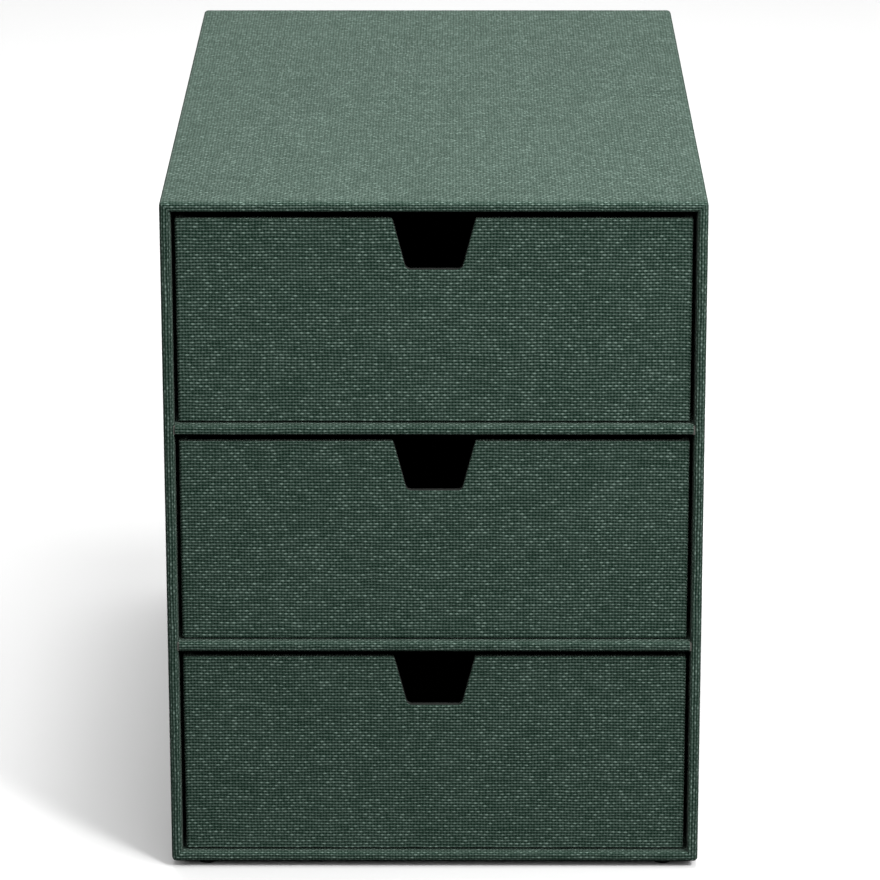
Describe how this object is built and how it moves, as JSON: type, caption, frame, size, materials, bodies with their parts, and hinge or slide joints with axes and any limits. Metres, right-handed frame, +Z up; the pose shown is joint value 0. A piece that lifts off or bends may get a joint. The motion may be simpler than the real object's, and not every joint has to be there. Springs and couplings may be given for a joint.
{
  "type": "file box with drawers",
  "caption": "Cloth-covered board file box, open at the front, with stacked pull-out drawers that have finger notches, on small rubber feet.",
  "frame": {"origin": "on the surface that the feet stand on, under the middle of the closed box", "axes": "+Z up; the open front and the drawer fronts face -Y, and the drawers pull out towards -Y; +X to the right seen from the front"},
  "size_m": [0.25, 0.4, 0.3276],
  "materials": {
    "cover_cloth": "plain-woven book cloth, dark grey-green, matt",
    "solid_board": "raw grey board, matt",
    "lining_paper": "near-black lining paper, matt",
    "foot_rubber": "black moulded rubber, satin"
  },
  "bodies": {
    "case": {"top_board": "solid_board", "base_board": "solid_board", "left_side_board": "solid_board", "right_side_board": "solid_board", "back_board": "solid_board", "case_cover_cloth": "cover_cloth", "back_cover_cloth": "cover_cloth", "lower_shelf_board": "solid_board", "upper_shelf_board": "solid_board", "lower_shelf_edge_cloth": "cover_cloth", "upper_shelf_edge_cloth": "cover_cloth", "lower_bay_lining": "lining_paper", "middle_bay_lining": "lining_paper", "upper_bay_lining": "lining_paper", "foot_front_left": "foot_rubber", "foot_front_right": "foot_rubber", "foot_back_left": "foot_rubber", "foot_back_right": "foot_rubber"},
    "upper_drawer": {"upper_drawer_front_board": "solid_board", "upper_drawer_back_board": "solid_board", "upper_drawer_left_board": "solid_board", "upper_drawer_right_board": "solid_board", "upper_drawer_base_board": "solid_board", "upper_drawer_cover_cloth": "cover_cloth", "upper_drawer_lining": "lining_paper"},
    "middle_drawer": {"middle_drawer_front_board": "solid_board", "middle_drawer_back_board": "solid_board", "middle_drawer_left_board": "solid_board", "middle_drawer_right_board": "solid_board", "middle_drawer_base_board": "solid_board", "middle_drawer_cover_cloth": "cover_cloth", "middle_drawer_lining": "lining_paper"},
    "lower_drawer": {"lower_drawer_front_board": "solid_board", "lower_drawer_back_board": "solid_board", "lower_drawer_left_board": "solid_board", "lower_drawer_right_board": "solid_board", "lower_drawer_base_board": "solid_board", "lower_drawer_cover_cloth": "cover_cloth", "lower_drawer_lining": "lining_paper"}
  },
  "joints": [
    {"name": "upper_drawer_slide", "type": "slide", "parent": "case", "child": "upper_drawer", "axis": [0, -1, 0], "range_m": [0, 0.3]},
    {"name": "middle_drawer_slide", "type": "slide", "parent": "case", "child": "middle_drawer", "axis": [0, -1, 0], "range_m": [0, 0.3]},
    {"name": "lower_drawer_slide", "type": "slide", "parent": "case", "child": "lower_drawer", "axis": [0, -1, 0], "range_m": [0, 0.3]}
  ]
}
